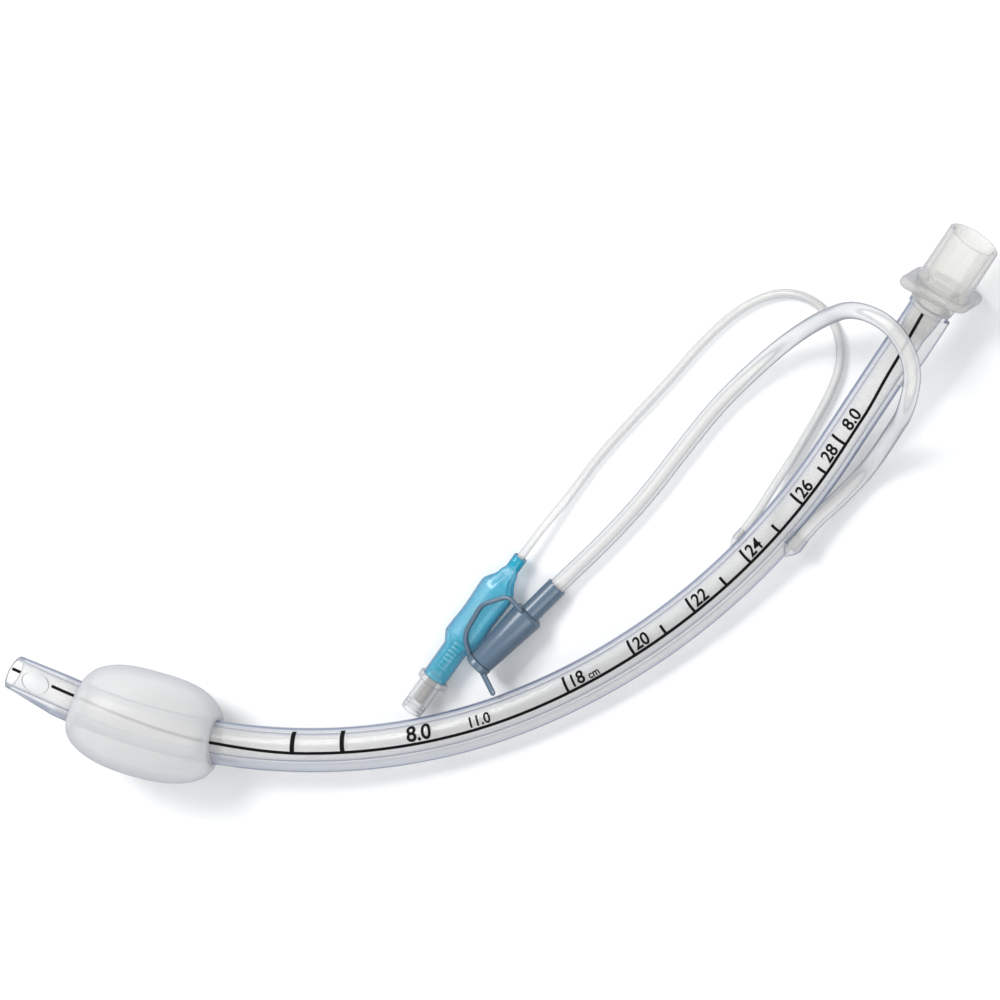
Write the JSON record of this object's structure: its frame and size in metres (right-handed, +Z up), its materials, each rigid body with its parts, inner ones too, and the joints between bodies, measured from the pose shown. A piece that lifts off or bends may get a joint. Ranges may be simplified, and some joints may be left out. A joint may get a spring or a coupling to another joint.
{
  "type": "endotracheal tube",
  "caption": "Clear curved cuffed airway tube with side eye, suction port, pilot balloon with check valve, capped suction line and eared tapered breathing connector, lying on a table",
  "frame": {"origin": "on the table plane, below the middle of the tube, cuff and breathing connector", "axes": "+X from the bevelled tip towards the breathing end, +Z up"},
  "size_m": [0.2965, 0.1545, 0.0314],
  "materials": {
    "clear_vinyl": "clear soft vinyl, smooth",
    "frosted_film": "thin milky film, soft sheen",
    "clear_rigid": "clear moulded plastic, glossy",
    "teal_film": "thin tinted film, glossy",
    "grey_plastic": "moulded, satin",
    "red_rubber": "soft rubber, matt",
    "steel_wire": "drawn wire, bright",
    "grey_blue_plastic": "translucent moulded plastic, satin"
  },
  "bodies": {
    "tube": {"main_tube": "clear_vinyl", "cuff": "frosted_film", "breathing_connector": "clear_rigid", "inflation_line": "clear_vinyl", "pilot_balloon": "teal_film", "valve_luer": "clear_rigid", "valve_housing": "clear_rigid", "valve_spring": "steel_wire", "suction_line": "clear_vinyl", "suction_connector": "grey_blue_plastic", "cap_tether": "grey_blue_plastic"},
    "plunger": {"valve_plunger": "grey_plastic", "valve_seal": "red_rubber"},
    "cap": {"suction_cap": "grey_blue_plastic"}
  },
  "joints": [
    {"name": "valve_push", "type": "slide", "parent": "tube", "child": "plunger", "axis": [0.6181, 0.786, -0.0166], "range_m": [0, 0.0015], "stiffness_N_per_m": 300, "springref_m": -0.001, "deforming": ["valve_spring"]},
    {"name": "cap_pull", "type": "slide", "parent": "tube", "child": "cap", "axis": [-0.7031, -0.6934, 0.1574], "range_m": [0, 0.0055], "deforming": ["cap_tether"]}
  ]
}
